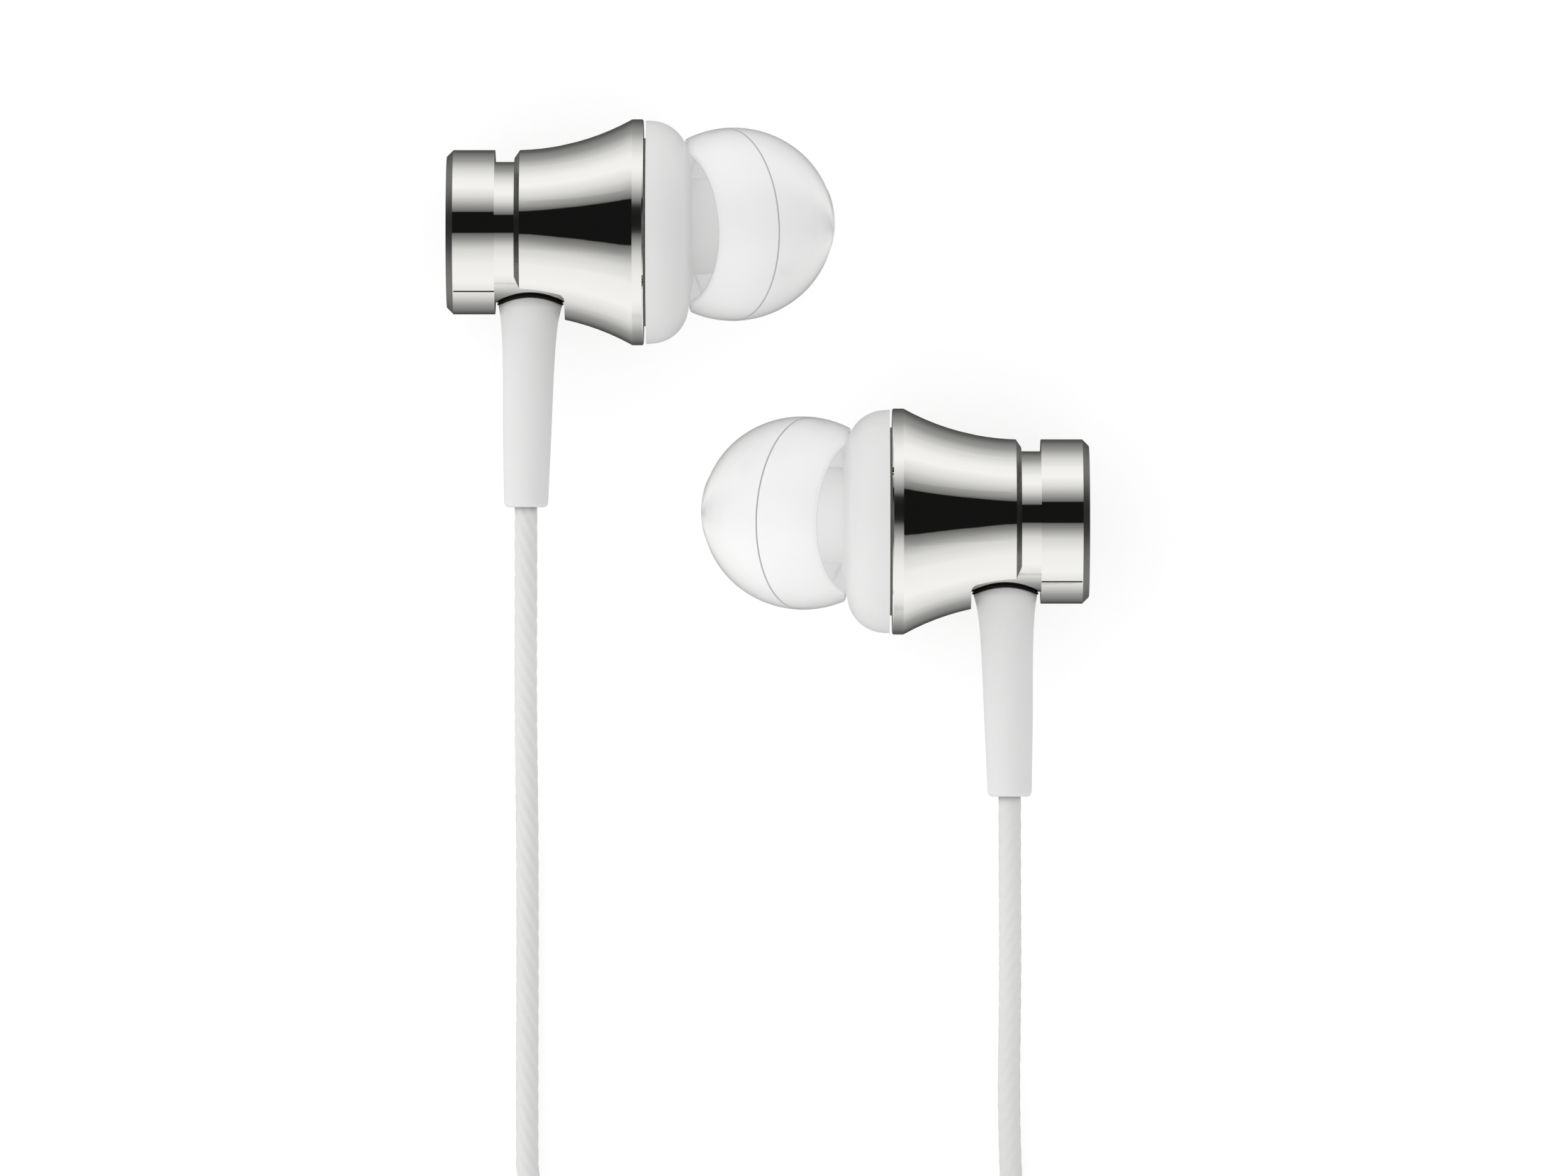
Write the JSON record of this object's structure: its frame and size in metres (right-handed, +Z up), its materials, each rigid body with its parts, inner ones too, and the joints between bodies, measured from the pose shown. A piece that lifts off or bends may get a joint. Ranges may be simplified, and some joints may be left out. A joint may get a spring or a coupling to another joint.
{
  "type": "wired in-ear earphones",
  "caption": "Wired in-ear earphones with flared metal housings, angled silicone tips, a button pod where the cords join, and a 3.5 mm plug.",
  "frame": {"origin": "on the surface the earphones lie on, under the middle of the two earpieces with their cord boots", "axes": "+Z up, +Y the way the cords leave the earpieces, X along the two housings, whose tips point inwards"},
  "size_m": [0.0441, 0.1253, 0.0149],
  "materials": {
    "polished_metal": "mirror polished",
    "white_plastic": "satin moulded",
    "silicone": "smooth translucent",
    "soft_boot": "soft matte",
    "cord_jacket": "satin, fine spiral ribs",
    "tie_rubber": "soft matte",
    "steel_mesh": "woven",
    "damper_foam": "open foam",
    "plated_steel": "satin",
    "magnet": "nickel plated",
    "driver_plastic": "moulded",
    "driver_film": "thin film",
    "enamelled_wire": "enamelled copper",
    "circuit_board": "solder mask",
    "gold_contact": "gold plated",
    "insulator_plastic": "moulded"
  },
  "bodies": {
    "earphones": {"cord_coil": "cord_jacket", "cord_tie": "tie_rubber", "left_branch_cord": "cord_jacket", "left_driver_cover": "plated_steel", "left_driver_frame": "driver_plastic", "left_driver_magnet": "magnet", "left_driver_washer": "plated_steel", "left_driver_yoke": "plated_steel", "left_front_shell": "white_plastic", "left_lead_wires": "enamelled_wire", "left_metal_housing": "polished_metal", "left_nozzle_damper": "damper_foam", "left_nozzle_mesh": "steel_mesh", "left_pod_cord": "cord_jacket", "left_rear_cap": "polished_metal", "left_strain_relief": "soft_boot", "left_terminal_board": "circuit_board", "main_pod_cord": "cord_jacket", "plug_boot": "soft_boot", "plug_cord": "cord_jacket", "plug_core": "white_plastic", "plug_grip": "polished_metal", "plug_insulator": "insulator_plastic", "plug_ring_1": "gold_contact", "plug_ring_2": "gold_contact", "plug_sleeve": "gold_contact", "plug_tip": "gold_contact", "pod_board": "circuit_board", "pod_inlet_boot": "soft_boot", "pod_lower_shell": "white_plastic", "pod_microphone": "plated_steel", "pod_outlet_boot": "soft_boot", "pod_switch": "plated_steel", "pod_upper_shell": "white_plastic", "right_branch_cord": "cord_jacket", "right_driver_cover": "plated_steel", "right_driver_frame": "driver_plastic", "right_driver_magnet": "magnet", "right_driver_washer": "plated_steel", "right_driver_yoke": "plated_steel", "right_front_shell": "white_plastic", "right_lead_wires": "enamelled_wire", "right_metal_housing": "polished_metal", "right_nozzle_damper": "damper_foam", "right_nozzle_mesh": "steel_mesh", "right_pod_cord": "cord_jacket", "right_rear_cap": "polished_metal", "right_strain_relief": "soft_boot", "right_terminal_board": "circuit_board"},
    "left_tip": {"left_ear_tip": "silicone"},
    "left_cone": {"left_diaphragm": "driver_film", "left_voice_coil": "enamelled_wire"},
    "right_tip": {"right_ear_tip": "silicone"},
    "right_cone": {"right_diaphragm": "driver_film", "right_voice_coil": "enamelled_wire"},
    "button": {"pod_button": "white_plastic"}
  },
  "joints": [
    {"name": "left_tip_pull", "type": "slide", "parent": "earphones", "child": "left_tip", "axis": [0.8639, -0.0604, -0.5], "range_m": [0, 0.005]},
    {"name": "left_cone_stroke", "type": "slide", "parent": "earphones", "child": "left_cone", "axis": [1, 0, 0], "range_m": [-0.00015, 0.00015], "stiffness_N_per_m": 25},
    {"name": "right_tip_pull", "type": "slide", "parent": "earphones", "child": "right_tip", "axis": [-0.8639, -0.0604, -0.5], "range_m": [0, 0.005]},
    {"name": "right_cone_stroke", "type": "slide", "parent": "earphones", "child": "right_cone", "axis": [-1, 0, 0], "range_m": [-0.00015, 0.00015], "stiffness_N_per_m": 25},
    {"name": "button_press", "type": "slide", "parent": "earphones", "child": "button", "axis": [0, 0, -1], "range_m": [0, 0.00025], "stiffness_N_per_m": 1500}
  ]
}
